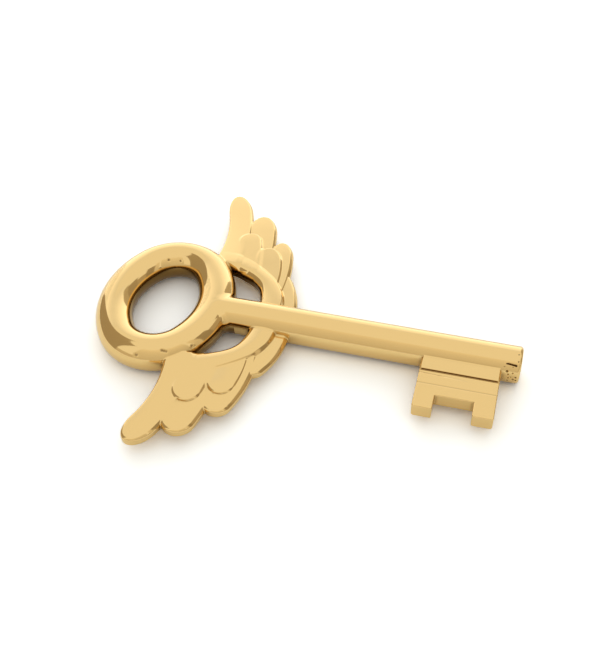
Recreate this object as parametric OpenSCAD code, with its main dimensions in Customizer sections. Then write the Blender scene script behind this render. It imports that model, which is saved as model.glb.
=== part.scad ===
// Decorative winged key: an oval bow, a round shank, a stepped bit and two feathered wings,
// soldered together from separate castings and turned pieces.
// The key lies flat. +X runs from the bow to the tip, +Z is up, and the bit points to -Y.
// The origin is under the middle of the key, on the surface that it lies on.

/* [Bow] */
// Thickness of the ring's round section
bow_d = 17; // [13:0.5:20]
// Half the bow's length along the key, to the middle of the ring's section
bow_half_length = 24; // [21:0.5:27]
// Half the bow's width across the key, to the middle of the ring's section
bow_half_width = 32; // [30:0.5:36]
// Radius of the bow's two round ends, to the middle of the ring's section
bow_end_r = 20; // [18:0.5:20.5]
// Length of the neck from the middle of the ring's section to the shank
neck_length = 12; // [11:0.5:16]
// Radius of the fillets between the ring and its neck
fillet_r = 2.4; // [1.4:0.2:3]
// Thickness of those fillets
fillet_t = 8; // [5:0.5:9]

/* [Shank] */
// Diameter of the shank and of the bow's neck
shank_d = 17; // [15:0.5:18]
// Length from the middle of the bow to the shank's tip
tip_reach = 167.5; // [160:0.5:190]
// Chamfer round the shank's tip
tip_chamfer = 0.8; // [0.3:0.1:1.5]
// Diameter of the spigot that plugs into the bow's neck
spigot_d = 9; // [7:0.5:10]
// Length of the spigot
spigot_length = 14; // [10:0.5:15]

/* [Bit] */
// Length of the bit along the shank
bit_length = 35.4; // [32:0.2:40]
// Distance from the bit to the shank's tip
bit_to_tip = 8.2; // [6:0.2:12]
// Reach of the bit's teeth from the shank's axis
bit_reach = 36.5; // [32:0.5:40]
// Depth of the bit's flat underside under the shank's axis
bit_drop = 4.8; // [4:0.1:5.5]
// Thickness of the bit's block beside the shank
bit_block_t = 8.6; // [8:0.1:9.4]
// Reach of the block from the shank's axis
bit_block_reach = 15; // [13:0.5:18]
// Thickness of the plate that carries the teeth
bit_plate_t = 7.9; // [7:0.1:8]
// Length along the shank by which the plate stands out past the block at each end
bit_plate_lip = 0.5; // [0.2:0.1:1]
// Depth of the shallow step across the plate
bit_step_depth = 0.3; // [0.1:0.1:0.6]
// Distance from the shank's axis to the shallow step
bit_step_reach = 20; // [18.5:0.5:24]
// Width of the notch between the teeth
notch_width = 17; // [14:0.2:20]
// Depth of the notch
notch_depth = 8; // [5:0.5:9]
// Width of the tooth on the bow's side
tooth_width = 9; // [7:0.2:10]
// Thickness of the tongue that sits in the shank
tongue_t = 5; // [4:0.2:6]
// Depth of the tongue in the shank
tongue_depth = 4.5; // [3:0.5:5.5]
// Distance of the bit's dowels from its two ends
bit_pin_inset = 7; // [5:0.5:12]

/* [Wings] */
// Distance from the bow's middle to the centre of the arm's curve
arm_centre_x = 20; // [19:0.5:22]
// Distance from the shank's axis to the centre of the arm's curve
arm_centre_y = 8; // [7:0.5:9]
// Radius of the arm's inner edge, which is the far side of the opening beside the shank
arm_inner_r = 23; // [22:0.5:24]
// Width of the arm where it meets the shank
arm_root_width = 12; // [11:0.5:13]
// Width of the arm where it meets the bow
arm_end_width = 9; // [8:0.5:10]
// Thickness of the arm at its crown
arm_t = 6.8; // [6.4:0.2:8]
// Thickness of the arm at its edges
arm_edge_t = 5.9; // [4.8:0.1:6.2]
// Height of the wings' flat back under the shank's axis
back_drop = 3.3; // [2.5:0.1:4]
// Thickness of the feathers at their outer edges
feather_edge_t = 3.7; // [3:0.1:4.2]
// Height of the feathers' crowns over their edges
feather_crown = 1; // [0.6:0.1:1.4]
// Height by which the short feathers stand over the long ones
covert_rise = 1.5; // [0.8:0.1:1.8]
// Chamfer round the wings' back
back_chamfer = 0.6; // [0.3:0.1:1]

/* [Feathers] */
// Lengths of the four long feathers, from the one beside the shank out to the wing's tip
feather_lengths = [30, 33, 37.5, 48.5]; // [28:0.5:52]
// Widths of the four long feathers
feather_widths = [10, 12.2, 15.4, 12.6]; // [9:0.2:17]
// Lengths of the two short feathers that lie over the long ones
covert_lengths = [23.5, 21]; // [18:0.5:26]
// Widths of the two short feathers
covert_widths = [11.6, 12.4]; // [10:0.2:14]

/* [Joints] */
// Diameter of the dowels and of the bow's pin
pin_d = 3; // [2:0.5:3.5]
// Length of a dowel
pin_length = 12; // [8:0.5:14]
// Gap that the solder fills between two faces
solder_gap = 0.1; // [0.06:0.02:0.16]
// Play of a pin or spigot in its hole, on the diameter
pin_play = 0.06; // [0.02:0.02:0.1]

/* [Hidden] */
$fn = 96;

brass = [0.89, 0.74, 0.46];
steel = [0.70, 0.71, 0.73];

shank_r = shank_d / 2;
bow_r = bow_d / 2;
mid_x = (tip_reach - bow_half_length - bow_r) / 2;
rest_z = max(shank_r, bow_r);

// The oval is four arcs. The two side arcs are centred past the middle, so that all four are tangent.
end_centre_y = bow_half_width - bow_end_r;
bow_side_r = (end_centre_y ^ 2 + bow_half_length ^ 2 - bow_end_r ^ 2) / (2 * (bow_half_length - bow_end_r));
side_centre_x = bow_side_r - bow_half_length;
side_angle = atan2(end_centre_y, side_centre_x);
neck_end_x = bow_half_length + neck_length;

// The bow's pin goes in from below and stops short of the top.
bow_pin_x = neck_end_x - spigot_length / 2;
bow_pin_top = spigot_d / 2;

bit_end_x = tip_reach - bit_to_tip;
bit_start_x = bit_end_x - bit_length;
slot_floor_y = shank_r - tongue_depth;

// The arm turns about its centre from the shank round to the bow.
arm_start_angle = -14;
arm_turn = 118;
arm_edge_z = arm_edge_t - back_drop;
arm_root_r = arm_inner_r + arm_root_width / 2;

// The dowels at a wing's two ends.
wing_pin_x = arm_centre_x + arm_root_r;
bow_joint_angle = 50;
bow_joint_r = bow_end_r + bow_r;

// Each feather's form: angle of its root on the arm, root's shift outwards, heading, bend, length of its
// round end as a multiple of its half width, rise of its edge at the root and at the end, and share of
// the crown.
feather_forms = [
  [-10, 6.5, 80, 46, 1.1, 0.2, 0, 0.6],
  [32, 0, 83, 28, 1.15, 0.4, 0, 1],
  [65, 0, 91, 12.5, 1.15, 0.6, 0, 1.1],
  [88, 0, 87.5, 31.5, 1.75, 1, 0, 1.2]
];
covert_forms = [
  [39.5, 0, 88.5, 22.5, 1.15, 0, 0, 0.5],
  [71.5, 0, 91, 14, 1.05, 0.3, 0.2, 0.5]
];

// The numbers of steps along and across the blades, and the powers that flatten their crowns.
arm_steps = 22;
body_steps = 5;
end_steps = 6;
crown_steps = 8;
crown_power = 0.75;
end_crown_power = 0.7;
// The round end stops a little before its last point, so that no face is squeezed to a line.
end_turn = 84;
// The number of sides of the rounds that cut a wing to the bow.
wing_cut_fn = 64;
// The length by which a cut or a hole goes on past the surface that it opens.
past = 1;

// Puts a piece that is drawn about the bow's middle and the shank's axis into the key's frame.
module in_frame() {
  translate([-mid_x, 0, rest_z])
    children();
}

// A round bar along X between two places.
module bar_x(from_x, to_x, d) {
  translate([from_x, 0, 0])
    rotate([0, 90, 0])
      cylinder(h = to_x - from_x, d = d);
}

// A pin or hole in the plane of the key, from a point, along an angle from +X.
module pin_along(at, angle, length, d) {
  translate(at)
    rotate([0, 90, angle])
      cylinder(h = length, d = d, center = true);
}

// The bow

module torus(centre, r, section_r) {
  translate(centre)
    rotate_extrude()
      translate([r, 0])
        circle(section_r);
}

// The side arcs lie in a wedge whose faces pass through the centres of all the arcs that they part.
module side_wedge(height) {
  reach = 2 * (bow_side_r + bow_r);
  translate([-side_centre_x, 0, -height])
    linear_extrude(2 * height)
      polygon([
        [0, 0],
        [reach * cos(side_angle), -reach * sin(side_angle)],
        [reach * cos(side_angle), reach * sin(side_angle)]
      ]);
}

module side_arc(section_r) {
  intersection() {
    torus([-side_centre_x, 0, 0], bow_side_r, section_r);
    side_wedge(2 * section_r);
  }
}

module end_arc(section_r) {
  reach = bow_end_r + 2 * section_r;
  difference() {
    torus([0, end_centre_y, 0], bow_end_r, section_r);
    side_wedge(2 * section_r);
    mirror([1, 0, 0])
      side_wedge(2 * section_r);
    translate([-reach, end_centre_y - 2 * reach, -2 * section_r])
      cube([2 * reach, 2 * reach, 4 * section_r]);
  }
}

module oval_ring(section_r) {
  side_arc(section_r);
  mirror([1, 0, 0])
    side_arc(section_r);
  both_sides()
    end_arc(section_r);
}

// The web that fills both corners between the ring and its neck, hollowed to a round fillet.
module neck_fillets() {
  hollow_x = sqrt((bow_side_r + bow_r + fillet_r) ^ 2 - (shank_r + fillet_r) ^ 2) - side_centre_x;
  translate([0, 0, -fillet_t / 2])
    linear_extrude(fillet_t)
      difference() {
        translate([bow_half_length, -shank_r - fillet_r])
          square([hollow_x - bow_half_length, shank_d + 2 * fillet_r]);
        for (side = [-1, 1])
          translate([hollow_x, side * (shank_r + fillet_r)])
            circle(fillet_r);
      }
}

module bow() {
  color(brass)
    in_frame()
      difference() {
        union() {
          oval_ring(bow_r);
          bar_x(bow_half_length, neck_end_x, shank_d);
          neck_fillets();
        }
        bar_x(neck_end_x - spigot_length - solder_gap, neck_end_x + past, spigot_d + pin_play);
        bow_pin_hole(pin_d + pin_play);
        both_sides()
          wing_bow_place(pin_d + pin_play, pin_length + solder_gap);
      }
}

module bow_pin_hole(d) {
  translate([bow_pin_x, 0, -rest_z - past])
    cylinder(h = rest_z + past + bow_pin_top, d = d);
}

module bow_pin() {
  color(steel)
    in_frame()
      translate([bow_pin_x, 0, bow_pin_top - pin_length])
        cylinder(h = pin_length, d = pin_d);
}

// The shank

module shank_blank() {
  bar_x(neck_end_x - spigot_length, neck_end_x + 2 * solder_gap, spigot_d);
  bar_x(neck_end_x + solder_gap, tip_reach - tip_chamfer, shank_d);
  translate([tip_reach - tip_chamfer, 0, 0])
    rotate([0, 90, 0])
      cylinder(h = tip_chamfer, d1 = shank_d, d2 = shank_d - 2 * tip_chamfer);
}

module shank() {
  color(brass)
    in_frame()
      difference() {
        shank_blank();
        bit_slot();
        bow_pin_hole(pin_d + pin_play);
        bit_pin_places(pin_d + pin_play, pin_length + solder_gap);
        both_sides()
          wing_shank_place(pin_d + pin_play, pin_length + solder_gap);
      }
}

module bit_slot() {
  translate([bit_start_x + bit_plate_lip - solder_gap, -shank_d, -tongue_t / 2 - solder_gap])
    cube([bit_length - 2 * bit_plate_lip + 2 * solder_gap, shank_d - slot_floor_y,
      tongue_t + 2 * solder_gap]);
}

// The bit

module bit_plan() {
  plate_width = bit_reach - bit_block_reach + tongue_depth;
  notch_x = bit_start_x + tooth_width;
  difference() {
    translate([bit_start_x, -bit_reach])
      square([bit_length, plate_width]);
    translate([notch_x, -bit_reach - past])
      square([notch_width, notch_depth + past]);
  }
}

module bit_plate() {
  difference() {
    translate([0, 0, -bit_drop])
      linear_extrude(bit_plate_t)
        bit_plan();
    translate([bit_start_x - past, -bit_reach - past, bit_plate_t - bit_drop - bit_step_depth])
      cube([bit_length + 2 * past, bit_reach - bit_step_reach + past, bit_plate_t]);
  }
}

// The block is cut to the shank's curve, and the tongue goes on into the shank's slot.
module bit_block() {
  block_x = bit_start_x + bit_plate_lip;
  block_length = bit_length - 2 * bit_plate_lip;
  difference() {
    translate([block_x, -bit_block_reach, -bit_drop])
      cube([block_length, bit_block_reach, bit_block_t]);
    bar_x(block_x - past, block_x + block_length + past, shank_d + 2 * solder_gap);
  }
  translate([block_x, -bit_block_reach, -tongue_t / 2])
    cube([block_length, bit_block_reach - slot_floor_y - solder_gap, tongue_t]);
}

// Two dowels lie across the shank, half in the tongue and block and half in the shank.
module bit_pin_places(d, length) {
  for (x = [bit_start_x + bit_pin_inset, bit_end_x - bit_pin_inset])
    pin_along([x, -slot_floor_y, 0], 90, length, d);
}

module bit() {
  color(brass)
    in_frame()
      difference() {
        union() {
          bit_plate();
          bit_block();
        }
        bit_pin_places(pin_d + pin_play, pin_length + solder_gap);
      }
}

module bit_pins() {
  color(steel)
    in_frame()
      bit_pin_places(pin_d, pin_length);
}

// The wings

// A blade is swept along an arc from its root. Each station is [x, y, heading, half width, scale of crown].
function arc_at(root, start, bend, length, s) =
  let (r = length / (bend * PI / 180), h = start + bend * s / length)
  [root[0] + r * (sin(h) - sin(start)), root[1] - r * (cos(h) - cos(start)), h];

// Half of a section's top, as a flattened oval from one edge over to the other.
function crown_point(turn, half, edge_z, crown) =
  let (c = cos(turn), s = sin(turn))
  [sign(c) * half * pow(abs(c), crown_power), edge_z + crown * pow(abs(s), crown_power)];

function blade_section(half, edge_z, crown, base_z, chamfer) =
  let (c = min(chamfer, half / 2))
  concat(
    [[half - c, base_z], [half, base_z + c]],
    [for (i = [0 : crown_steps]) crown_point(180 * i / crown_steps, half, edge_z, crown)],
    [[-half, base_z + c], [-(half - c), base_z]]);

function placed_section(at, section) =
  [for (p = section) [at[0] - sin(at[2]) * p[0], at[1] + cos(at[2]) * p[0], p[1]]];

module loft(sections) {
  n = len(sections[0]);
  m = len(sections);
  points = [for (s = sections) for (p = s) p];
  sides = [for (j = [0 : m - 2]) for (i = [0 : n - 1])
    let (k = (i + 1) % n)
    each [[j * n + i, (j + 1) * n + k, j * n + k], [j * n + i, (j + 1) * n + i, (j + 1) * n + k]]];
  first = [[for (i = [0 : n - 1]) i]];
  last = [[for (i = [0 : n - 1]) m * n - 1 - i]];
  polyhedron(points, concat(first, sides, last), convexity = 4);
}

function mix(a, b, t) = a + (b - a) * t;

// A feather: straight-sided along its quill, with a round end, lower at its end than at its root. Its edge
// lies at edge_t over the wing's back, plus the rises that its form gives.
module feather(form, length, width, edge_t) {
  r = arm_root_r + form[1];
  root = [arm_centre_x + r * cos(form[0]), arm_centre_y + r * sin(form[0])];
  half = width / 2;
  round_length = half * form[4];
  body = length - round_length;
  crown = feather_crown * form[7];
  function level(s) = edge_t - back_drop + mix(form[5], form[6], s / length);
  function section(s, shrink) =
    blade_section(half * shrink, level(s), crown * pow(shrink, end_crown_power), -back_drop, back_chamfer);
  function station(s, shrink) =
    placed_section(arc_at(root, form[2], form[3], length, s), section(s, shrink));
  loft(concat(
    [for (i = [0 : body_steps - 1]) station(body * i / body_steps, 1)],
    [for (i = [0 : end_steps])
      let (t = end_turn * i / end_steps)
      station(body + round_length * sin(t), cos(t))]));
}

// The arm is swept about its own centre, from inside the shank to inside the bow.
module arm() {
  loft([for (i = [0 : arm_steps])
    let (t = i / arm_steps,
      angle = arm_start_angle + arm_turn * t,
      half = mix(arm_root_width, arm_end_width, min(1, max(0, angle / 90))) / 2,
      r = arm_inner_r + half)
    placed_section(
      [arm_centre_x + r * cos(angle), arm_centre_y + r * sin(angle), angle + 90],
      blade_section(half, arm_edge_z, arm_t - back_drop - arm_edge_z, -back_drop, back_chamfer))]);
}

module wing() {
  difference() {
    union() {
      arm();
      for (i = [0 : len(feather_forms) - 1])
        feather(feather_forms[i], feather_lengths[i], feather_widths[i], feather_edge_t);
      for (i = [0 : len(covert_forms) - 1])
        feather(covert_forms[i], covert_lengths[i], covert_widths[i], feather_edge_t + covert_rise);
    }
    bar_x(bow_half_length, tip_reach, shank_d + 2 * solder_gap);
    side_arc(bow_r + solder_gap, $fn = wing_cut_fn);
    torus([0, end_centre_y, 0], bow_end_r, bow_r + solder_gap, $fn = wing_cut_fn);
    wing_shank_place(pin_d + pin_play, pin_length + solder_gap);
    wing_bow_place(pin_d + pin_play, pin_length + solder_gap);
  }
}

module wing_left() {
  color(brass)
    in_frame()
      wing();
}

module wing_right() {
  color(brass)
    in_frame()
      mirror([0, 1, 0])
        wing();
}

// One dowel joins each wing's arm to the shank, and one joins its shoulder to the bow.
module wing_shank_place(d, length) {
  pin_along([wing_pin_x, shank_r, 0], 90, length, d);
}

module wing_bow_place(d, length) {
  pin_along([bow_joint_r * cos(bow_joint_angle), end_centre_y + bow_joint_r * sin(bow_joint_angle), 0],
    bow_joint_angle, length, d);
}

module both_sides() {
  children();
  mirror([0, 1, 0])
    children();
}

module wing_shank_pins() {
  color(steel)
    in_frame()
      both_sides()
        wing_shank_place(pin_d, pin_length);
}

module wing_bow_pins() {
  color(steel)
    in_frame()
      both_sides()
        wing_bow_place(pin_d, pin_length);
}

bow();
shank();
bit();
wing_left();
wing_right();
bow_pin();
bit_pins();
wing_shank_pins();
wing_bow_pins();
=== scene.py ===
import math

import bmesh
import bpy
import numpy as np
from bpy.props import FloatProperty, PointerProperty, StringProperty
from mathutils import Matrix, Vector


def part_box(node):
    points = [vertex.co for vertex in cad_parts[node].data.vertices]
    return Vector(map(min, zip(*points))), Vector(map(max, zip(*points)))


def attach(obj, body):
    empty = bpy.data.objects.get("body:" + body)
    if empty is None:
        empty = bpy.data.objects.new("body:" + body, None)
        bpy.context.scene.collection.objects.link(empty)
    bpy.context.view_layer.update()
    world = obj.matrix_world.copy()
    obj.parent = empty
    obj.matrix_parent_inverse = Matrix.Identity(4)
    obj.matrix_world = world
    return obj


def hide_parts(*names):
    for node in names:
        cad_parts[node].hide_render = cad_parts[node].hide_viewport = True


bl_info = {
    "name": "Winged Key",
    "version": (1, 0, 0),
    "blender": (4, 5, 0),
    "location": "View3D > Sidebar > Winged Key",
    "description": "Dresses a decorative brass key with feathered wings and sets up its studio",
    "category": "Add Mesh",
}

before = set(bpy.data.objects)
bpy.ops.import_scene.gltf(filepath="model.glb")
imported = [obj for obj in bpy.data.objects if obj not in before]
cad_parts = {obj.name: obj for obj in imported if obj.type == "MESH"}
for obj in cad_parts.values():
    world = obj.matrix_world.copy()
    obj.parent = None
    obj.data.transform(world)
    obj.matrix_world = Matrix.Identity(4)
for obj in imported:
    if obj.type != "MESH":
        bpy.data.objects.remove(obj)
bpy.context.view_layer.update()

MM = 0.001
BODY = "root"
# Name of the point layer that says how far each point is painted towards the brown of painted
# shade, or darker in a pit.
SHADE_AND_PITS = "shade_and_pits"
# Keeps divisions off zero, and is the distance in metres under which points are one.
TINY = MM * MM

# Places and sizes that the solids give.
BOW_LOW, BOW_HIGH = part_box("bow")
SHANK_LOW, SHANK_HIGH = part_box("shank")
BIT_LOW, BIT_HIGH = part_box("bit")
AXIS_Z = (SHANK_LOW.z + SHANK_HIGH.z) / 2
SHANK_R = (SHANK_HIGH.z - SHANK_LOW.z) / 2
BOW_R = (BOW_HIGH.z - BOW_LOW.z) / 2
BOW_HALF_WIDTH = BOW_HIGH.y - BOW_R
NECK_END_X = BOW_HIGH.x
TIP_X = SHANK_HIGH.x


# Properties

def distance(name, description, default_mm):
    return FloatProperty(name=name, description=description, default=default_mm * MM,
                         subtype="DISTANCE", unit="LENGTH", precision=5)


def angle(name, description, default_degrees):
    return FloatProperty(name=name, description=description, default=math.radians(default_degrees),
                         subtype="ANGLE", unit="ROTATION")


def share(name, description, default):
    return FloatProperty(name=name, description=description, default=default, min=0, max=1,
                         subtype="FACTOR")


def gain(name, description, default, most):
    return FloatProperty(name=name, description=description, default=default, min=1, max=most,
                         subtype="FACTOR")


def hex_colour(name, description, default):
    return StringProperty(name=name, description=description, default=default, maxlen=6)


class WINGEDKEY_bow_sizes(bpy.types.PropertyGroup):
    half_length: distance(
        "Half length", "From the bow's middle to the middle of the ring's section, along the key",
        24)
    end_radius: distance(
        "End radius", "Radius of the oval's two round ends, to the middle of the ring's section",
        20)
    inner_fill: share(
        "Inner fill", "How much fuller the ring's section is on its inner side, beside the neck",
        0.17)
    neck_fillet: distance(
        "Neck fillet", "Radius of the polished corner between the ring and its neck", 2.6)


class WINGEDKEY_shank_sizes(bpy.types.PropertyGroup):
    tip_round: distance("Tip round", "Radius of the edge round the shank's tip", 1.5)


class WINGEDKEY_bit_sizes(bpy.types.PropertyGroup):
    plate_drop: distance("Plate drop", "Depth of the plate's top under the block's", 0.7)
    block_reach: distance("Block reach", "Reach of the block from the shank's axis", 15)
    plate_lip: distance("Plate lip", "Length by which the plate stands out past the block", 0.5)
    step_reach: distance(
        "Step reach", "Distance of the plate's shallow step from the shank's axis", 22.8)
    step_depth: distance("Step depth", "Depth of that step", 0.2)
    tooth_width: distance("Tooth width", "Width of the tooth on the bow's side", 9)
    notch_width: distance("Notch width", "Width of the notch between the teeth", 17)
    notch_depth: distance("Notch depth", "Depth of the notch", 8)
    edge: distance("Edge round", "Radius of the bit's filed upper edges", 0.45)
    lower_edge: distance("Lower edge round", "Radius of the cast edges round its underside", 1.8)
    groove: distance("Groove", "Radius of the milled groove along the block's foot", 0.42)


class WINGEDKEY_wing_sizes(bpy.types.PropertyGroup):
    arm_centre_x: distance(
        "Arm centre along", "From the bow's middle to the centre of the arm's curve", 20)
    arm_centre_y: distance(
        "Arm centre across", "From the shank's axis to the centre of the arm's curve", 8)
    arm_inner_r: distance("Arm radius", "Radius of the arm's inner edge", 23)
    arm_root_width: distance(
        "Arm width at shank", "Width of the arm where it meets the shank", 12.8)
    arm_end_width: distance("Arm width at bow", "Width of the arm where it meets the bow", 8.5)
    arm_swell: distance(
        "Arm swell", "How much thicker the arm is towards the bow, on the gap's side", 2)
    gap_round: distance(
        "Gap's edge round", "Radius of the arm's rubbed edge beside the gap", 2.8)
    arm_top: distance("Arm top", "Height of the arm's crown over the shank's axis", 3.5)
    arm_edge: distance("Arm edge", "Height of the arm's edges over the shank's axis", 2.6)
    back: distance("Back", "Depth of the flat back under the shank's axis", 3.3)
    feather_edge: distance(
        "Feather edge", "Height of the long feathers' edges over the shank's axis", 0.4)
    feather_crown: distance(
        "Feather crown", "Height of a long feather's crown over its edge", 1)
    covert_rise: distance(
        "Covert rise", "Height of the short feathers over the long ones", 1.5)
    bevel: distance(
        "Bevel", "Width of the filed bevels on the edges that face the shank's tip", 1.5)
    solder: distance("Solder fillet", "Radius of the solder fillets along the joints", 0.8)


class WINGEDKEY_finish(bpy.types.PropertyGroup):
    brass: hex_colour("Brass", "Colour of the polished brass, as sRGB hex", "EAC785")
    # The brown painted into corners, shaded walls, pits and cutter's lines as painted shade.
    paste: hex_colour(
        "Paste", "Colour of the brass where polishing paste stays in the corners, as sRGB hex",
        "7E5F30")
    steel: hex_colour("Steel", "Colour of the ground steel dowels, as sRGB hex", "B9BBBF")
    table: hex_colour("Table", "Colour of the table top, as sRGB hex", "F2F3EF")
    table_gain: gain("Table gain", "How much whiter the camera sees the table", 1.95, 2)
    table_mirrored: share("Table mirrored", "Share of that gain that the brass mirrors", 0.5)
    gloss: share("Brass roughness", "Roughness of the polished brass", 0.06)
    wave: distance("Wave", "Height of the waves that buffing left in the brass", 0.05)


class WINGEDKEY_studio(bpy.types.PropertyGroup):
    azimuth: angle(
        "Azimuth", "Camera's turn about the key, from square on to the bit's side", 15.11)
    elevation: angle("Elevation", "Camera's height over the table", 46.07)
    roll: angle("Roll", "Camera's tilt to the side", -1.08)
    reach: distance("Distance", "From the camera to its aim", 465.2)
    silk: hex_colour(
        "Silk", "Colour of the overhead silk that lights the set, as sRGB hex", "FFFFFF")
    table_light: share("Table light", "Share of the silk's light that reaches the table", 0.62)
    window_flood: gain(
        "Window flood", "How many times brighter the window is for the table", 1.9, 4)
    card_reach: distance(
        "Card distance", "From the key to the cards that stand round it", 900)
    lens: FloatProperty(
        name="Lens", description="Focal length in millimetres, on a 36 mm sensor", default=54.79)


# Feathers: the root's angle on the arm and its shift outwards, heading, bend, length, half width,
# length of the round end, rise of the edge at the root and at the end, share of the crown, and
# radius of the polished edge. Angles are in degrees and sizes in millimetres. The two wings were
# finished by hand, so they differ a little about the sizes of the solids, which are one pair of
# mirror images.
LEFT_FEATHERS = (
    (-8, 7.1, 87, 44, 30, 5.4, 6.2, 0.2, 0, 0.6, 1.1),
    (24, 0, 86.5, 23, 35.2, 5.7, 10, 0.4, 0, 1, 1.3),
    (60.5, 0, 93.7, 13, 39.4, 7.2, 12, 0.8, 0, 1.1, 1.4),
    (88.3, 0, 88, 30, 49.5, 6.3, 13.5, 2.9, 0.1, 1.2, 1.2),
)
LEFT_COVERTS = (
    (40.8, 0, 95, 21, 20.9, 6.8, 10.5, -0.1, 0.5, 0.5, 0.8),
    (67.4, 0, 100, 14, 21.3, 6, 6.1, 0.8, 0.8, 0.5, 0.8),
)
RIGHT_FEATHERS = (
    (-11, 7, 79, 48, 33.8, 5.3, 5.3, 0.2, 0, 0.6, 1.1),
    (34.5, 0, 85, 32, 34.6, 7.9, 7, 0.4, 0, 1, 1.3),
    (63.5, 0, 94.7, 12, 39.3, 8, 8.6, 0.8, 0, 1.1, 1.4),
    (92, 0.5, 81.5, 43, 45.7, 6.8, 11.3, 2.9, 0.1, 1.2, 1.2),
)
RIGHT_COVERTS = (
    (41.8, 0, 86, 24, 21.8, 6.9, 8, -0.3, 0.4, 0.5, 0.8),
    (73, 0, 90, 14, 20.8, 7.1, 8, 0.6, 0.6, 0.5, 0.8),
)

# The wings: node, side of the key, how much wider than its two widths the arm was left, in
# millimetres, and the feathers.
WINGS = (
    ("wing_left", 1, -0.4, LEFT_FEATHERS, LEFT_COVERTS),
    ("wing_right", -1, 0.8, RIGHT_FEATHERS, RIGHT_COVERTS),
)

# Casting pits that the polishing opened in the bow: place of the middle and half size along, in
# millimetres.
BOW_PITS = (
    (-74.4, 23.8, 14.2, 0.6), (-68.8, 25.1, 13.6, 0.5), (-67.7, -38.9, 13.5, 0.6),
    (-56.8, -34.9, 15.1, 0.6), (-55.9, -34.8, 14.9, 0.6), (-54.9, -34.6, 14.6, 0.5),
    (-45.3, -27.4, 13.3, 0.5),
)

# Casting flaws that the polishing opened near the shank's tip: distance from the tip, bearing
# round the axis in degrees from +Y, radius and depth. Sizes are in millimetres.
SHANK_PITS = (
    (6.4, 135, 0.32, 0.5), (5.9, 134.6, 0.34, 0.7), (5.4, 134.9, 0.34, 0.8),
    (4.9, 135.2, 0.36, 0.8), (4.4, 135.4, 0.36, 0.8), (3.9, 136, 0.36, 0.8),
    (3.4, 136.3, 0.36, 0.8), (2.9, 136.4, 0.36, 0.9), (2.4, 137.2, 0.42, 0.9),
    (1.9, 101, 0.3, 0.2), (1.6, 124, 0.28, 0.25), (5.9, 158, 0.5, 0.35),
    (5.3, 168, 0.3, 0.3), (5, 182, 0.35, 0.3), (1.8, 176, 0.36, 0.45),
    (2.8, 186, 0.42, 0.45), (1.5, 189, 0.4, 0.45), (7.2, 145, 0.28, 0.2),
    (3.6, 143, 0.25, 0.2), (3.3, 162, 0.3, 0.25), (5.2, 196, 0.4, 0.3),
    (3.9, 177, 0.25, 0.2),
)

# Cards that stand round the set: name, first and last bearing and height in degrees as seen from
# the key, brightness at the foot and at the top, and tint. Bearings turn from +X towards +Y.
CARDS = (
    ("window", 70, 150, 0, 46, 1.9, 1, "F6F8FF"),
    ("window_post", 134, 150, 0, 30, 0.55, 0.5, "FFF4E0"),
    ("left_flag", 150, 212, 0, 62, 0.42, 0.46, "FFF0D8"),
    ("left_front_flag", 212, 240, 0, 15, 0.66, 0.68, "FFF6E8"),
    ("front_wall", 240, 300, 0, 60, 0.7, 0.98, "FFFAF0"),
    ("right_front_wall", 300, 340, 0, 60, 0.62, 0.98, "FFFAF0"),
    ("stand", 340, 346, 4, 20, 0.38, 0.38, "FFF0D8"),
    ("right_front_gap", 346, 356, 0, 50, 0.68, 0.9, "FFF8EC"),
    ("right_flag", 356, 372, 0, 42, 0.36, 0.4, "FFF0D8"),
    ("right_back_flag", 372, 391, 0, 30, 0.48, 0.52, "FFF0D8"),
    ("low_right_flag", 391, 416, 0, 37, 0.42, 0.45, "FFF0D8"),
    ("window_frame", 416, 430, 0, 40, 0.55, 0.55, "FFF4E0"),
)
WINDOW = "window"
TABLE_HALF = 1.5
AIM = Vector((-1.4 * MM, -2.4 * MM, AXIS_Z + 0.53 * MM))


# Forms. Each is a function of points that is negative inside the metal and grows away from it.

def round_union(a, b, radius):
    """Both forms, with a round fillet in the corner between them."""
    fillet = np.hypot(np.maximum(radius - a, 0), np.maximum(radius - b, 0))
    return np.maximum(radius, np.minimum(a, b)) - fillet


def round_cut(a, b, radius):
    """What both forms hold, with its edge rounded."""
    return -round_union(-a, -b, radius)


def mix(a, b, t):
    return a + (b - a) * t


def ramp(value, none, full):
    """0 on the side of none, 1 on the side of full, and eased between the two."""
    t = np.clip((value - none) / (full - none), 0, 1)
    return t * t * (3 - 2 * t)


def bow_middle(sizes):
    return BOW_LOW.x + BOW_R + sizes.half_length


def across_ring(x, y, sizes):
    """How far points lie outside the oval that the middle of the ring's section follows, and
    how much of the way out of it runs along y, on its long sides."""
    end_y = BOW_HALF_WIDTH - sizes.end_radius
    side_r = (end_y ** 2 + sizes.half_length ** 2 - sizes.end_radius ** 2) / (
        2 * (sizes.half_length - sizes.end_radius))
    side_x = side_r - sizes.half_length
    turn = math.atan2(end_y, side_x)
    ax, ay = np.abs(x), np.abs(y)
    at_end = math.cos(turn) * (ay - end_y) - math.sin(turn) * ax > 0
    from_side = np.hypot(ax + side_x, ay)
    across = np.where(at_end, np.hypot(ax, ay - end_y) - sizes.end_radius, from_side - side_r)
    return across, y / from_side


# Share of the ring's inner fill that is left away from the neck.
FAR_FILL = 0.35
# Cosine of the angle between ring and neck at which their fillet has run out, and its radius there.
FLUSH = 0.996
LEAST_FILLET = 0.002 * MM
BOW_PIT_DEPTH = 0.35 * MM


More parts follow.
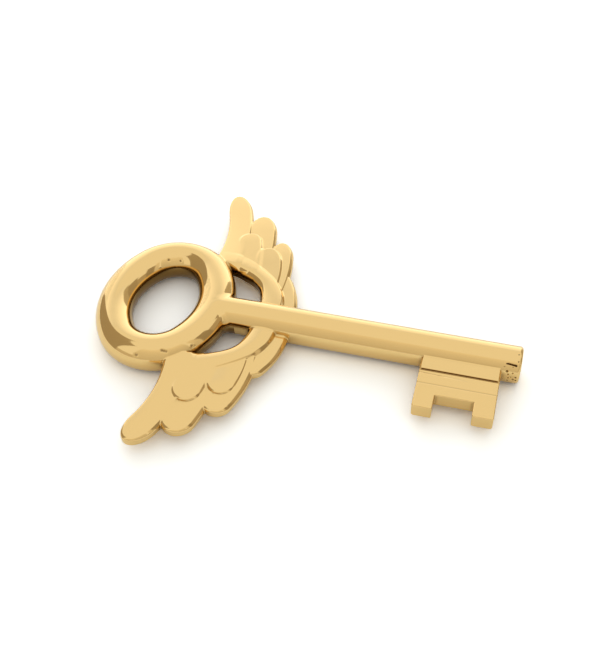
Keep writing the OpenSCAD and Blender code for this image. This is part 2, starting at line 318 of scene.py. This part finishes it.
def bow_form(p, sizes):
    x, y, z = p[:, 0] - bow_middle(sizes), p[:, 1], p[:, 2] - AXIS_Z
    across, side_y = across_ring(x, y, sizes)
    # The casting is fuller inside the ring, most of all beside the neck.
    fill = sizes.inner_fill * mix(FAR_FILL, 1, ramp(x, 0, sizes.half_length))
    ring = np.hypot(across * (1 - np.where(across < 0, fill, 0)), z) - BOW_R
    neck = np.maximum(np.hypot(y, z) - SHANK_R, sizes.half_length - x)
    # The fillet is full where the two surfaces stand square to each other, and runs out where
    # they lie flush.
    away = np.maximum(np.hypot(across, z) * np.hypot(y, z), TINY)
    flush = (across * side_y * y + z * z) / away
    fillet = sizes.neck_fillet * np.sqrt(np.clip(FLUSH - flush, 0, 1)) + LEAST_FILLET
    return round_union(ring, neck, fillet) + BOW_PIT_DEPTH * bow_pits(p)


def bow_pits(p):
    """How deep each point lies in one of the bow's pits, from 0 to 1."""
    deep = np.zeros(len(p))
    for x, y, z, size in BOW_PITS:
        away = np.hypot(np.hypot(p[:, 0] - x * MM, p[:, 1] - y * MM), p[:, 2] - z * MM)
        deep = np.maximum(deep, np.exp(-(away / (size * MM)) ** 4))
    return deep


def bow_shade_and_pits(p, sizes):
    """Painted shade on the bow: low on the ring's inner side and low beside the wings, where shade
    falls. The pits are painted darker too."""
    x, z = p[:, 0] - bow_middle(sizes), p[:, 2] - AXIS_Z
    across = across_ring(x, p[:, 1], sizes)[0]
    inside = ramp(-across, 0.2 * BOW_R, 1.2 * BOW_R) * ramp(z, 4 * MM, 1.5 * MM)
    beside_wings = (ramp(across, 0.3 * BOW_R, 1.3 * BOW_R) * ramp(x, 10 * MM, 18 * MM)
                    * ramp(z, 2 * MM, -0.5 * MM))
    return np.maximum(np.maximum(inside, beside_wings), bow_pits(p))


def seat_form(p, sizes):
    """The ring and shank together, which the wings and the bit are soldered to."""
    x, z = p[:, 0] - bow_middle(sizes), p[:, 2] - AXIS_Z
    ring = np.hypot(across_ring(x, p[:, 1], sizes)[0], z) - BOW_R
    shank = np.hypot(p[:, 1], z) - SHANK_R
    return np.minimum(ring, np.maximum(shank, sizes.half_length - x))


def soldered(form, seat, radius, sink, reach):
    """A form with a solder fillet against its seat. It goes on a little way into the seat, out
    of sight."""
    bead = round_union(form, seat + sink, radius)
    bead = np.maximum(bead, form - radius)
    return np.maximum(bead, -(seat + reach))


# Smallest radius of a filed edge, and the radius along a bevel's own two edges.
FILED_EDGE = 0.4 * MM
BEVEL_EDGE = 0.3 * MM


def filed_edge(side, top, edge, bevel, to_tip):
    """A rounded upper edge. Where it faces the shank's tip, it was filed to a bevel instead."""
    corner = round_cut(side, top, mix(edge, FILED_EDGE, to_tip))
    return round_cut(corner, (side + top + bevel * to_tip) / math.sqrt(2), BEVEL_EDGE)


# How far each feather goes on behind its root, under the arm, and the share of its crown that
# its edges have.
ROOT_REACH = 8 * MM
EDGE_CROWN = 0.7


def feather_form(x, y, z, feather, sizes, rise):
    """One feather: a bent blade with a round end, as an arc with a width."""
    root_angle, shift, heading, bend, length, half, tip, root_rise, end_rise, crown, edge = feather
    shift, length, half, tip, edge = (v * MM for v in (shift, length, half, tip, edge))
    r = sizes.arm_inner_r + sizes.arm_root_width / 2 + shift
    root_x = sizes.arm_centre_x + r * math.cos(math.radians(root_angle))
    root_y = sizes.arm_centre_y + r * math.sin(math.radians(root_angle))
    start, arc_r = math.radians(heading), length / math.radians(bend)
    dx, dy = x - root_x + arc_r * math.sin(start), y - root_y - arc_r * math.cos(start)
    along = arc_r * ((np.arctan2(dx, -dy) - start + math.pi) % (2 * math.pi) - math.pi)
    across = arc_r - np.hypot(dx, dy)
    # The round end is half an ellipse, so the distance past it is squeezed to the blade's width.
    past = np.maximum(along - (length - tip), 0)
    squeezed = np.hypot(past * half / tip, across)
    outward_along = past * (half / tip) ** 2
    outward = np.maximum(np.hypot(outward_along, across), TINY)
    slope = outward / np.maximum(squeezed, TINY)
    side = np.maximum((squeezed - half) / np.maximum(slope, half / tip), -along - ROOT_REACH)
    turn = start + along / arc_r
    to_tip = np.clip((outward_along * np.cos(turn) - across * np.sin(turn)) / outward, 0, 1)
    # The top sags between the root and the end.
    way = np.clip((along + ROOT_REACH) / (length + ROOT_REACH), 0, 1)
    way = way ** 2 if end_rise > root_rise else 1 - (1 - way) ** 2
    level = sizes.feather_edge + rise + mix(root_rise, end_rise, way) * MM
    middle = np.clip(1 - (squeezed / half) ** 2, 0, 1)
    top = level + sizes.feather_crown * crown * mix(EDGE_CROWN, 1, middle)
    return filed_edge(side, z - top, edge, sizes.bevel, to_tip)


def arm_place(x, y, sizes):
    """Distance from the centre of the arm's curve, and the turn about it in degrees."""
    dx, dy = x - sizes.arm_centre_x, y - sizes.arm_centre_y
    return np.hypot(dx, dy), np.degrees(np.arctan2(dy, dx))


def gap_edge(turn, sizes):
    """Radius of the arm's inner edge. The arm is thicker towards the bow."""
    return sizes.arm_inner_r - sizes.arm_swell * ramp(turn, 28, 63)


# Middle and half of the arm's turn in degrees, and the length of a degree along it.
ARM_MIDDLE, ARM_HALF_TURN = 41, 55
DEGREE_LENGTH = 0.5 * MM
# How far the arm sinks under the tip feather towards the bow.
ARM_SINK = 0.8 * MM
ARM_EDGE_ROUND = 0.7 * MM


def arm_form(x, y, z, sizes, extra_width):
    away, turn = arm_place(x, y, sizes)
    inner = gap_edge(turn, sizes)
    width = mix(sizes.arm_root_width, sizes.arm_end_width, ramp(turn, 0, 60)) + extra_width
    outer = sizes.arm_inner_r + width
    half = (outer - inner) / 2
    across = away - inner - half
    ends = (np.abs(turn - ARM_MIDDLE) - ARM_HALF_TURN) * DEGREE_LENGTH
    middle = np.clip(1 - (across / half) ** 2, 0, 1)
    top = mix(sizes.arm_edge, sizes.arm_top, middle) - ARM_SINK * ramp(turn, 68, 93)
    to_tip = ramp(across, 0, half) * np.clip(np.cos(np.radians(turn)) * 1.4, 0, 1)
    return filed_edge(np.maximum(across - half, ends), z - top, ARM_EDGE_ROUND,
                      1.3 * sizes.bevel, to_tip)


def wing_points(p, side, key):
    """Points seen from the bow's middle, with y out along the wing."""
    return p[:, 0] - bow_middle(key.bow), side * p[:, 1], p[:, 2] - AXIS_Z


# Radii of the hollows between the arm and the tip feather, between the two coverts, between the
# coverts and the rest, and between the other long feathers and the rest.
TIP_HOLLOW, COVERT_PAIR_HOLLOW, COVERT_HOLLOW, FEATHER_HOLLOW = 2 * MM, 1.5 * MM, 0.6 * MM, 0.3 * MM
BACK_ROUND = 1.3 * MM


def wing_form(p, side, extra_width, feathers, coverts, key):
    """One wing. side is 1 for the left wing and -1 for the right one."""
    sizes = key.wing
    x, y, z = wing_points(p, side, key)
    long = [feather_form(x, y, z, feather, sizes, 0) for feather in feathers]
    short = [feather_form(x, y, z, covert, sizes, sizes.covert_rise) for covert in coverts]
    arm = arm_form(x, y, z, sizes, extra_width * MM)
    form = round_union(arm, long[-1], TIP_HOLLOW)
    form = round_union(form, round_union(*short, COVERT_PAIR_HOLLOW), COVERT_HOLLOW)
    for feather in long[:-1]:
        form = round_union(form, feather, FEATHER_HOLLOW)
    away, turn = arm_place(x, y, sizes)
    form = round_cut(form, gap_edge(turn, sizes) - away, sizes.gap_round)
    form = round_cut(form, -sizes.back - z, BACK_ROUND)
    return soldered(form, seat_form(p, key.bow), sizes.solder, sink=0.05 * MM, reach=1.2 * MM)


def wing_painted_shade(p, side, key):
    """Painted shade on the arm's wall beside the gap."""
    x, y, z = wing_points(p, side, key)
    away, turn = arm_place(x, y, key.wing)
    from_gap = away - gap_edge(turn, key.wing)
    return ramp(from_gap, 2.64 * MM, 1.44 * MM) * ramp(z, 2.4 * MM, 0.8 * MM)


# Half width and depth of the lines that the cutter left across the plate.
LINE_HALF_WIDTH = 0.25 * MM
LINE_DEPTH = 0.15 * MM


def bit_form(p, key):
    sizes = key.bit
    x, y, z = p[:, 0], -p[:, 1], p[:, 2]
    reach, plate_top = -BIT_LOW.y, BIT_HIGH.z - sizes.plate_drop
    middle_x, half_x = (BIT_LOW.x + BIT_HIGH.x) / 2, (BIT_HIGH.x - BIT_LOW.x) / 2
    notch_x = BIT_LOW.x + sizes.tooth_width + sizes.notch_width / 2
    from_ends = np.abs(x - middle_x) - half_x
    notch = round_cut(np.abs(x - notch_x) - sizes.notch_width / 2,
                      reach - sizes.notch_depth - y, sizes.edge)
    # The upright corners were filed rounder than the upper edges.
    plan = round_cut(from_ends, y - reach, 2.2 * sizes.edge)
    plan = round_cut(plan, -notch, 1.5 * sizes.edge)
    step = sizes.step_depth * ramp(y, sizes.step_reach - LINE_HALF_WIDTH,
                                   sizes.step_reach + LINE_HALF_WIDTH)
    top = z - plate_top + step + LINE_DEPTH * scribed(x, y, sizes)
    plate = round_cut(plan, top, sizes.edge)
    groove_y = sizes.block_reach + 0.2 * MM
    groove = sizes.groove - np.hypot(y - groove_y, z - plate_top)
    plate = round_cut(plate, groove, 0.1 * MM)
    block = round_cut(from_ends + sizes.plate_lip, y - sizes.block_reach, sizes.edge)
    block = round_cut(block, z - BIT_HIGH.z, sizes.edge / 2)
    form = round_cut(np.minimum(plate, block), BIT_LOW.z - z, sizes.lower_edge)
    return soldered(form, seat_form(p, key.bow), 0.5 * MM, sink=0.05 * MM, reach=1.5 * MM)


def scribed(x, y, sizes):
    """How deep the cutter's lines are across the plate, from 0 to 1: one along the step, and a
    slanted one that runs out."""
    slant = sizes.block_reach + 1.8 * MM + 0.045 * (x - BIT_LOW.x)
    runs_out = ramp(x, BIT_LOW.x + 26 * MM, BIT_LOW.x + 6 * MM)
    return np.maximum(np.exp(-((y - sizes.step_reach) / LINE_HALF_WIDTH) ** 2),
                      np.exp(-((y - slant) / LINE_HALF_WIDTH) ** 2) * runs_out)


def bit_line_shade(p, sizes):
    """The cutter's lines on the plate's top, painted a little darker as shade in the grooves."""
    on_top = p[:, 2] > BIT_HIGH.z - sizes.plate_drop - 0.7 * MM
    return 0.3 * scribed(p[:, 0], -p[:, 1], sizes) * on_top


# Meshes

def skin(form, low, high, step):
    """The points and four-sided faces of a form's surface, from a grid of cells over the box from
    low to high."""
    low = np.array(low, float)
    counts = np.ceil((np.array(high, float) - low) / step).astype(int) + 1
    axes = [low[a] + step * np.arange(counts[a]) for a in range(3)]
    grid = np.stack(np.meshgrid(*axes, indexing="ij"), axis=-1).reshape(-1, 3)
    value = form(grid).reshape(counts)
    inside = value < 0
    total, hits, quads = np.zeros((inside.size, 3)), np.zeros(inside.size), []
    unit = np.eye(3, dtype=int)
    for a in range(3):
        b, c = (a + 1) % 3, (a + 2) % 3
        starts = inside.take(np.arange(counts[a] - 1), axis=a)
        at = np.argwhere(starts != inside.take(np.arange(1, counts[a]), axis=a))
        at = at[(at[:, b] > 0) & (at[:, c] > 0)]
        first, second = value[tuple(at.T)], value[tuple((at + unit[a]).T)]
        crossing = low + step * (at + (first / (first - second))[:, None] * unit[a])
        # Each edge of the grid that the surface crosses gives a face from the four cells round it.
        corners = (unit[b] + unit[c], unit[c], 0 * unit[a], unit[b])
        around = [np.ravel_multi_index((at - corner).T, counts) for corner in corners]
        for cell in around:
            np.add.at(total, cell, crossing)
            np.add.at(hits, cell, 1)
        around = np.stack(around, axis=1)
        quads.append(np.where((first < 0)[:, None], around, around[:, ::-1]))
    used, quads = np.unique(np.concatenate(quads), return_inverse=True)
    return total[used] / hits[used, None], quads.reshape(-1, 4)


# How often points are moved to the surface, and the least square of its slope that is reckoned
# with, so that no point jumps where a form is nearly level.
SETTLE_PASSES = 3
LEAST_SLOPE = 0.05


def settle(form, points, reach):
    """Moves the points onto the form's surface. reach is how far to each side its slope is felt."""
    for _ in range(SETTLE_PASSES):
        rise = np.stack([form(points + offset) - form(points - offset)
                         for offset in np.eye(3) * reach], axis=1) / (2 * reach)
        steepness = np.maximum((rise ** 2).sum(1), LEAST_SLOPE)
        points = points - rise * (form(points) / steepness)[:, None]
    return points


def smooth(points, quads, passes):
    """Moves each point halfway to the middle of its neighbours, as rubbing down does."""
    ends = np.concatenate([quads[:, (i, (i + 1) % 4)] for i in range(4)])
    ends = np.unique(np.sort(ends, axis=1), axis=0)
    count = np.bincount(ends.ravel(), minlength=len(points))[:, None]
    for _ in range(passes):
        total = np.zeros_like(points)
        np.add.at(total, ends[:, 0], points[ends[:, 1]])
        np.add.at(total, ends[:, 1], points[ends[:, 0]])
        points = (points + total / count) / 2
    return points


def metal_mesh(name, form, shade_and_pits, low, high, step, rub=0):
    """A mesh of the form's surface. The function after the form gives how strongly each point is
    painted towards the brown of painted shade, from 0 to 1: shade where it falls on walls, and pits
    and cutter's lines painted darker. rub is how often the points are smoothed after they lie on
    the form."""
    points, quads = skin(form, low, high, step)
    for _ in range(2):
        points = smooth(settle(form, points, step / 4), quads, 1)
    points = smooth(settle(form, points, step / 4), quads, rub)
    mesh = bpy.data.meshes.new(name)
    mesh.from_pydata(points.tolist(), [], quads.tolist())
    mesh.validate()
    mesh.shade_smooth()
    mesh.attributes.new(SHADE_AND_PITS, "FLOAT", "POINT").data.foreach_set("value", shade_and_pits(points))
    return mesh


def cut_square(mesh, x):
    """Cuts a mesh square to the shank's axis and closes the cut."""
    work = bmesh.new()
    work.from_mesh(mesh)
    cut = bmesh.ops.bisect_plane(work, geom=work.verts[:] + work.edges[:] + work.faces[:],
                                 plane_co=(x, 0, 0), plane_no=(1, 0, 0), clear_outer=True,
                                 dist=TINY)
    rim = [e for e in cut["geom_cut"] if isinstance(e, bmesh.types.BMEdge)]
    for face in bmesh.ops.contextual_create(work, geom=rim)["faces"]:
        face.smooth = False
        for edge in face.edges:
            edge.smooth = False
    work.to_mesh(mesh)
    work.free()


def add_piece(name, mesh, nodes, material):
    """Puts a mesh in the scene as a piece that stands for these CAD nodes."""
    piece = bpy.data.objects.new(name, mesh)
    bpy.context.scene.collection.objects.link(piece)
    piece.data.materials.append(material)
    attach(piece, BODY)
    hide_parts(*nodes)
    return piece


# Materials

def linear(hex_code):
    """An sRGB hex colour as the linear RGBA that shaders take."""
    channels = [int(hex_code[i:i + 2], 16) / 255 for i in (0, 2, 4)]
    return [c / 12.92 if c <= 0.04045 else ((c + 0.055) / 1.055) ** 2.4 for c in channels] + [1]


def add_node(tree, kind, settings=None, in_order=(), **by_name):
    """Adds a shader node. Its inputs are given in order or by name, each as a value or as the
    output that feeds it."""
    node = tree.nodes.new(kind)
    for key, value in (settings or {}).items():
        setattr(node, key, value)
    named = [(node.inputs[key.replace("_", " ")], value) for key, value in by_name.items()]
    for socket, value in [*zip(node.inputs, in_order), *named]:
        if isinstance(value, bpy.types.NodeSocket):
            tree.links.new(value, socket)
        else:
            socket.default_value = value
    return node


def math_node(tree, operation, *terms):
    """The output of a Math node."""
    node = add_node(tree, "ShaderNodeMath", {"operation": operation}, terms)
    return node.outputs["Value"]


def new_material(name):
    material = bpy.data.materials.new(name)
    material.use_nodes = True
    material.node_tree.nodes.clear()
    return material, material.node_tree


def polished_brass(finish):
    """Cast brass, filed and buffed to a mirror: sharp reflections that waver a little, and a brown
    painted shade in the corners and on shaded walls."""
    name = "polished_cast_brass"
    if name in bpy.data.materials:
        return bpy.data.materials[name]
    material, tree = new_material(name)
    place = add_node(tree, "ShaderNodeNewGeometry").outputs["Position"]
    # Buffing leaves waves about 9 mm apart and a few hundredths of a millimetre high.
    waves = add_node(tree, "ShaderNodeTexNoise", Vector=place, Scale=1 / (9 * MM), Detail=1.5,
                     Roughness=0.5)
    surface = add_node(tree, "ShaderNodeBump", Height=waves.outputs["Fac"], Strength=1.0,
                       Distance=finish.wave)
    # Cloudy patches where the compound was wiped off less, about 6 mm across.
    clouds = add_node(tree, "ShaderNodeTexNoise", Vector=place, Scale=1 / (6 * MM), Detail=3.0,
                      Roughness=0.6)
    gloss = add_node(tree, "ShaderNodeMapRange", Value=clouds.outputs["Fac"], From_Min=0.3,
                     From_Max=0.75, To_Min=finish.gloss, To_Max=finish.gloss * 2)
    # Painted shade: corners narrower than about 3 mm, found by ambient occlusion, are painted
    # brown, and so are the places that a mesh's own layer marks as shaded or pitted.
    corner = add_node(tree, "ShaderNodeAmbientOcclusion", {"samples": 8}, Distance=3 * MM)
    paste = add_node(tree, "ShaderNodeMapRange", Value=corner.outputs["AO"], From_Min=0.85,
                     From_Max=0.35)
    shade_and_pits = add_node(tree, "ShaderNodeAttribute", {"attribute_name": SHADE_AND_PITS})
    shade_amount = math_node(tree, "MAXIMUM", paste.outputs["Result"], shade_and_pits.outputs["Fac"])
    tone = add_node(tree, "ShaderNodeMix", {"data_type": "RGBA"}, Factor=shade_amount)
    # A Mix node's colours are its inputs 6 and 7 and its output 2.
    tone.inputs[6].default_value = linear(finish.brass)
    tone.inputs[7].default_value = linear(finish.paste)
    shader = add_node(tree, "ShaderNodeBsdfPrincipled", Base_Color=tone.outputs[2], Metallic=1.0,
                      Roughness=gloss.outputs["Result"], Normal=surface.outputs["Normal"])
    add_node(tree, "ShaderNodeOutputMaterial", Surface=shader.outputs["BSDF"])
    return material


def ground_steel(finish):
    """Steel rod, centreless ground: a fine satin grey."""
    name = "ground_steel"
    if name in bpy.data.materials:
        return bpy.data.materials[name]
    material, tree = new_material(name)
    shader = add_node(tree, "ShaderNodeBsdfPrincipled", Base_Color=linear(finish.steel),
                      Metallic=1.0, Roughness=0.3)
    add_node(tree, "ShaderNodeOutputMaterial", Surface=shader.outputs["BSDF"])
    return material


def table_top(finish):
    """A matt white table top, exposed so that it burns out to white and only its deep shadows
    show."""
    material, tree = new_material("matt_white_table")
    paper = linear(finish.table)
    bright = [c * finish.table_gain for c in paper[:3]] + [1]
    plain = add_node(tree, "ShaderNodeBsdfDiffuse", Color=paper)
    exposed = add_node(tree, "ShaderNodeBsdfDiffuse", Color=bright)
    # The exposure holds for the table as it is seen, straight or in the brass, and not for the
    # light that it throws back under the key.
    rays = add_node(tree, "ShaderNodeLightPath").outputs
    seen = math_node(tree, "MULTIPLY_ADD", rays["Is Glossy Ray"], finish.table_mirrored,
                     rays["Is Camera Ray"])
    before_bounce = math_node(tree, "LESS_THAN", rays["Diffuse Depth"], 0.5)
    share_seen = math_node(tree, "MULTIPLY", seen, before_bounce)
    surface = add_node(tree, "ShaderNodeMixShader",
                       in_order=(share_seen, plain.outputs["BSDF"], exposed.outputs["BSDF"]))
    add_node(tree, "ShaderNodeOutputMaterial", Surface=surface.outputs["Shader"])
    return material


def overhead_silk(studio):
    """White silk over the whole set. The lamp stands and the camera's boom keep a good third of
    its light off the table."""
    world = bpy.data.worlds.new("overhead_silk")
    world.use_nodes = True
    tree = world.node_tree
    tree.nodes.clear()
    rays = add_node(tree, "ShaderNodeLightPath").outputs
    level = add_node(tree, "ShaderNodeMapRange", Value=rays["Is Diffuse Ray"], To_Min=1.0,
                     To_Max=studio.table_light)
    glow = add_node(tree, "ShaderNodeBackground", Color=linear(studio.silk),
                    Strength=level.outputs["Result"])
    add_node(tree, "ShaderNodeOutputWorld", Surface=glow.outputs["Background"])
    return world


def card_paper(name, height, foot, top, tint, flood):
    """Card lit from behind or left dark: an even tone that the brass mirrors with a crisp edge.
    flood is how many times brighter the card is for the table than for the brass, which sees it
    through a soft net."""
    material, tree = new_material(name)
    place = add_node(tree, "ShaderNodeNewGeometry").outputs["Position"]
    split = add_node(tree, "ShaderNodeSeparateXYZ", Vector=place)
    rays = add_node(tree, "ShaderNodeLightPath").outputs
    boost = add_node(tree, "ShaderNodeMapRange", Value=rays["Is Diffuse Ray"], To_Min=1.0,
                     To_Max=flood)
    tone = add_node(tree, "ShaderNodeMapRange", Value=split.outputs["Z"], From_Max=height,
                    To_Min=foot, To_Max=top)
    strength = math_node(tree, "MULTIPLY", tone.outputs["Result"], boost.outputs["Result"])
    glow = add_node(tree, "ShaderNodeEmission", Color=linear(tint), Strength=strength)
    add_node(tree, "ShaderNodeOutputMaterial", Surface=glow.outputs["Emission"])
    return material


# Operators

# Length by which the bow's mesh is made past the neck's end, before it is cut there.
CUT_PAST = 3 * MM
BOW_STEP, BIT_STEP, WING_STEP = 0.5 * MM, 0.25 * MM, 0.3 * MM


class WINGEDKEY_OT_bow(bpy.types.Operator):
    """Builds the oval bow with its neck, as one polished casting"""
    bl_idname = "winged_key.bow"
    bl_label = "Bow"

    def execute(self, context):
        key = context.scene.winged_key
        low = (BOW_LOW.x - MM, BOW_LOW.y - MM, BOW_LOW.z - MM)
        high = (NECK_END_X + CUT_PAST, BOW_HIGH.y + MM, BOW_HIGH.z + MM)
        mesh = metal_mesh("bow_cast", lambda p: bow_form(p, key.bow),
                          lambda p: bow_shade_and_pits(p, key.bow), low, high, BOW_STEP)
        cut_square(mesh, NECK_END_X)
        add_piece("bow_cast", mesh, ["bow"], polished_brass(key.finish))
        return {"FINISHED"}


# Lengths from the tip over which the shank's mesh is fine, and over which it may have pits.
FINE_LENGTH = 10 * MM
PITTED_LENGTH = 9 * MM
# Share of the radius of the shank's end face that stays without pits.
PLAIN_FACE = 0.8
# Depth from which a pit is painted fully dark.
DARKEST_PIT_DEPTH = 0.2 * MM


def shank_profile(tip_round):
    """Distances along and from the shank's axis, from its tip to its foot in the neck."""
    turns = [math.radians(90 * i / 10) for i in range(11)]
    fine = np.linspace(TIP_X - tip_round, TIP_X - FINE_LENGTH, 64)[1:].tolist()
    plain = np.linspace(fine[-1], NECK_END_X, 56)[1:].tolist()
    face = [(TIP_X, 0), (TIP_X, SHANK_R / 3), (TIP_X, SHANK_R * PLAIN_FACE)]
    edge = [(TIP_X - tip_round + tip_round * math.cos(t),
             SHANK_R - tip_round + tip_round * math.sin(t)) for t in turns]
    return face + edge + [(x, SHANK_R) for x in fine + plain] + [(NECK_END_X, 0)]


def pit_depth(place):
    """How deep a point of the shank's surface lies in a pit, as a share of the shank's radius."""
    y, z = place.y, place.z - AXIS_Z
    if math.hypot(y, z) < SHANK_R * PLAIN_FACE:
        return 0
    sink = 0
    for back, bearing, size, depth in SHANK_PITS:
        turn = (math.degrees(math.atan2(z, y)) - bearing + 180) % 360 - 180
        away = math.hypot(TIP_X - place.x - back * MM, math.radians(turn) * SHANK_R)
        sink = max(sink, depth * MM * math.exp(-(away / (size * MM)) ** 4))
    return sink / SHANK_R


class WINGEDKEY_OT_shank(bpy.types.Operator):
    """Turns the plain round shank, with its rounded tip and the few casting pits beside it"""
    bl_idname = "winged_key.shank"
    bl_label = "Shank"

    def execute(self, context):
        key = context.scene.winged_key
        work = bmesh.new()
        line = [work.verts.new((x, 0, AXIS_Z + radius))
                for x, radius in shank_profile(key.shank.tip_round)]
        edges = [work.edges.new(pair) for pair in zip(line, line[1:])]
        bmesh.ops.spin(work, geom=line + edges, cent=(0, 0, AXIS_Z), axis=(1, 0, 0),
                       angle=2 * math.pi, steps=384)
        bmesh.ops.remove_doubles(work, verts=work.verts[:], dist=TINY)
        bmesh.ops.recalc_face_normals(work, faces=work.faces[:])
        # The pits are painted darker the deeper they lie.
        pit_dark = work.verts.layers.float.new(SHADE_AND_PITS)
        for vert in work.verts:
            if TIP_X - vert.co.x < PITTED_LENGTH:
                sink = pit_depth(vert.co)
                vert.co = Vector((vert.co.x, vert.co.y * (1 - sink),
                                  AXIS_Z + (vert.co.z - AXIS_Z) * (1 - sink)))
                vert[pit_dark] = min(1, sink * SHANK_R / DARKEST_PIT_DEPTH)
        mesh = bpy.data.meshes.new("shank_turned")
        work.to_mesh(mesh)
        work.free()
        mesh.shade_smooth()
        mesh.set_sharp_from_angle(angle=math.radians(75))
        add_piece("shank_turned", mesh, ["shank"], polished_brass(key.finish))
        return {"FINISHED"}


class WINGEDKEY_OT_bit(bpy.types.Operator):
    """Builds the bit: its block, the stepped plate and the two teeth"""
    bl_idname = "winged_key.bit"
    bl_label = "Bit"

    def execute(self, context):
        key = context.scene.winged_key
        beside = 1.2 * MM
        root_y = -5 * MM
        low = (BIT_LOW.x - beside, BIT_LOW.y - MM, BIT_LOW.z - beside)
        high = (BIT_HIGH.x + beside, root_y, BIT_HIGH.z + beside)
        mesh = metal_mesh("bit_filed", lambda p: bit_form(p, key),
                          lambda p: bit_line_shade(p, key.bit), low, high, BIT_STEP)
        add_piece("bit_filed", mesh, ["bit"], polished_brass(key.finish))
        return {"FINISHED"}


class WINGEDKEY_OT_wings(bpy.types.Operator):
    """Builds the two feathered wings, with their solder fillets"""
    bl_idname = "winged_key.wings"
    bl_label = "Wings"

    def execute(self, context):
        key = context.scene.winged_key
        for node, side, extra_width, feathers, coverts in WINGS:
            low, high = (np.array(corner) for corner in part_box(node))
            mesh = metal_mesh(
                node + "_cast", lambda p: wing_form(p, side, extra_width, feathers, coverts, key),
                lambda p: wing_painted_shade(p, side, key), low - 2 * MM, high + 2 * MM, WING_STEP, rub=1)
            add_piece(node + "_cast", mesh, [node], polished_brass(key.finish))
        return {"FINISHED"}


class WINGEDKEY_OT_dowels(bpy.types.Operator):
    """Gives the steel pin and dowels in the joints their finish"""
    bl_idname = "winged_key.dowels"
    bl_label = "Dowels"

    def execute(self, context):
        finish = context.scene.winged_key.finish
        for name in ("bow_pin", "bit_pins", "wing_shank_pins", "wing_bow_pins"):
            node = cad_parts[name]
            node.data.materials.clear()
            node.data.materials.append(ground_steel(finish))
        return {"FINISHED"}


class WINGEDKEY_OT_studio(bpy.types.Operator):
    """Sets the key on a pale table under soft studio light, with cards round it and a camera"""
    bl_idname = "winged_key.studio"
    bl_label = "Studio"

    def execute(self, context):
        scene = context.scene
        key = scene.winged_key
        table = bpy.data.objects.new("table", bpy.data.meshes.new("table"))
        half = TABLE_HALF
        corners = [(-half, -half, 0), (half, -half, 0), (half, half, 0), (-half, half, 0)]
        table.data.from_pydata(corners, [], [(0, 1, 2, 3)])
        table.data.materials.append(table_top(key.finish))
        scene.collection.objects.link(table)
        scene.world = overhead_silk(key.studio)
        for card in CARDS:
            stand_card(scene, key.studio, *card)
        scene.camera = place_camera(scene, key.studio)
        scene.view_settings.view_transform = "Standard"
        return {"FINISHED"}


def stand_card(scene, studio, name, first, last, low, high, foot, top, tint):
    """Stands a curved card round the key, with a glow that grows from its foot to its top."""
    steps = max(2, int(last - first) // 4)
    turns = [math.radians(mix(first, last, i / steps)) for i in range(steps + 1)]
    reach = studio.card_reach
    rows = [AXIS_Z + reach * math.tan(math.radians(h)) for h in (low, high)]
    points = [(reach * math.cos(t), reach * math.sin(t), max(z, MM)) for z in rows for t in turns]
    faces = [(i, i + 1, steps + 2 + i, steps + 1 + i) for i in range(steps)]
    card = bpy.data.objects.new(name, bpy.data.meshes.new(name))
    card.data.from_pydata(points, [], faces)
    card.data.materials.append(card_paper(name, rows[1], foot, top, tint, studio.window_flood))
    card.visible_camera = False
    # Only the window lights the table. The other cards are there for the brass to mirror.
    card.visible_diffuse = name == WINDOW
    scene.collection.objects.link(card)


def place_camera(scene, studio):
    a, e = studio.azimuth, studio.elevation
    back = Vector((math.sin(a) * math.cos(e), -math.cos(a) * math.cos(e), math.sin(e)))
    level = Vector((math.cos(a), math.sin(a), 0))
    rise = back.cross(level)
    right = level * math.cos(studio.roll) + rise * math.sin(studio.roll)
    turned = Matrix((right, back.cross(right), back)).transposed().to_4x4()
    data = bpy.data.cameras.new("camera")
    data.lens = studio.lens
    data.clip_start = 10 * MM
    camera = bpy.data.objects.new("camera", data)
    camera.matrix_world = Matrix.Translation(AIM + back * studio.reach) @ turned
    scene.collection.objects.link(camera)
    return camera


class WINGEDKEY_settings(bpy.types.PropertyGroup):
    bow: PointerProperty(type=WINGEDKEY_bow_sizes)
    shank: PointerProperty(type=WINGEDKEY_shank_sizes)
    bit: PointerProperty(type=WINGEDKEY_bit_sizes)
    wing: PointerProperty(type=WINGEDKEY_wing_sizes)
    finish: PointerProperty(type=WINGEDKEY_finish)
    studio: PointerProperty(type=WINGEDKEY_studio)


class WINGEDKEY_PT_panel(bpy.types.Panel):
    bl_idname = "WINGEDKEY_PT_panel"
    bl_label = "Winged Key"
    bl_space_type = "VIEW_3D"
    bl_region_type = "UI"
    bl_category = "Winged Key"

    def draw(self, context):
        key = context.scene.winged_key
        for group in (key.bow, key.shank, key.bit, key.wing, key.finish, key.studio):
            box = self.layout.box()
            for name in group.__annotations__:
                box.prop(group, name)
        for operator in OPERATORS:
            self.layout.operator(operator.bl_idname)


OPERATORS = (WINGEDKEY_OT_bow, WINGEDKEY_OT_shank, WINGEDKEY_OT_bit, WINGEDKEY_OT_wings,
             WINGEDKEY_OT_dowels, WINGEDKEY_OT_studio)
CLASSES = (WINGEDKEY_bow_sizes, WINGEDKEY_shank_sizes, WINGEDKEY_bit_sizes, WINGEDKEY_wing_sizes,
           WINGEDKEY_finish, WINGEDKEY_studio, WINGEDKEY_settings) + OPERATORS + (
               WINGEDKEY_PT_panel,)


def register():
    for cls in CLASSES:
        bpy.utils.register_class(cls)
    bpy.types.Scene.winged_key = PointerProperty(type=WINGEDKEY_settings)


def unregister():
    del bpy.types.Scene.winged_key
    for cls in reversed(CLASSES):
        bpy.utils.unregister_class(cls)


def main():
    register()
    bpy.ops.winged_key.studio()
    bpy.ops.winged_key.bow()
    bpy.ops.winged_key.shank()
    bpy.ops.winged_key.bit()
    bpy.ops.winged_key.wings()
    bpy.ops.winged_key.dowels()


if __name__ == "__main__":
    main()
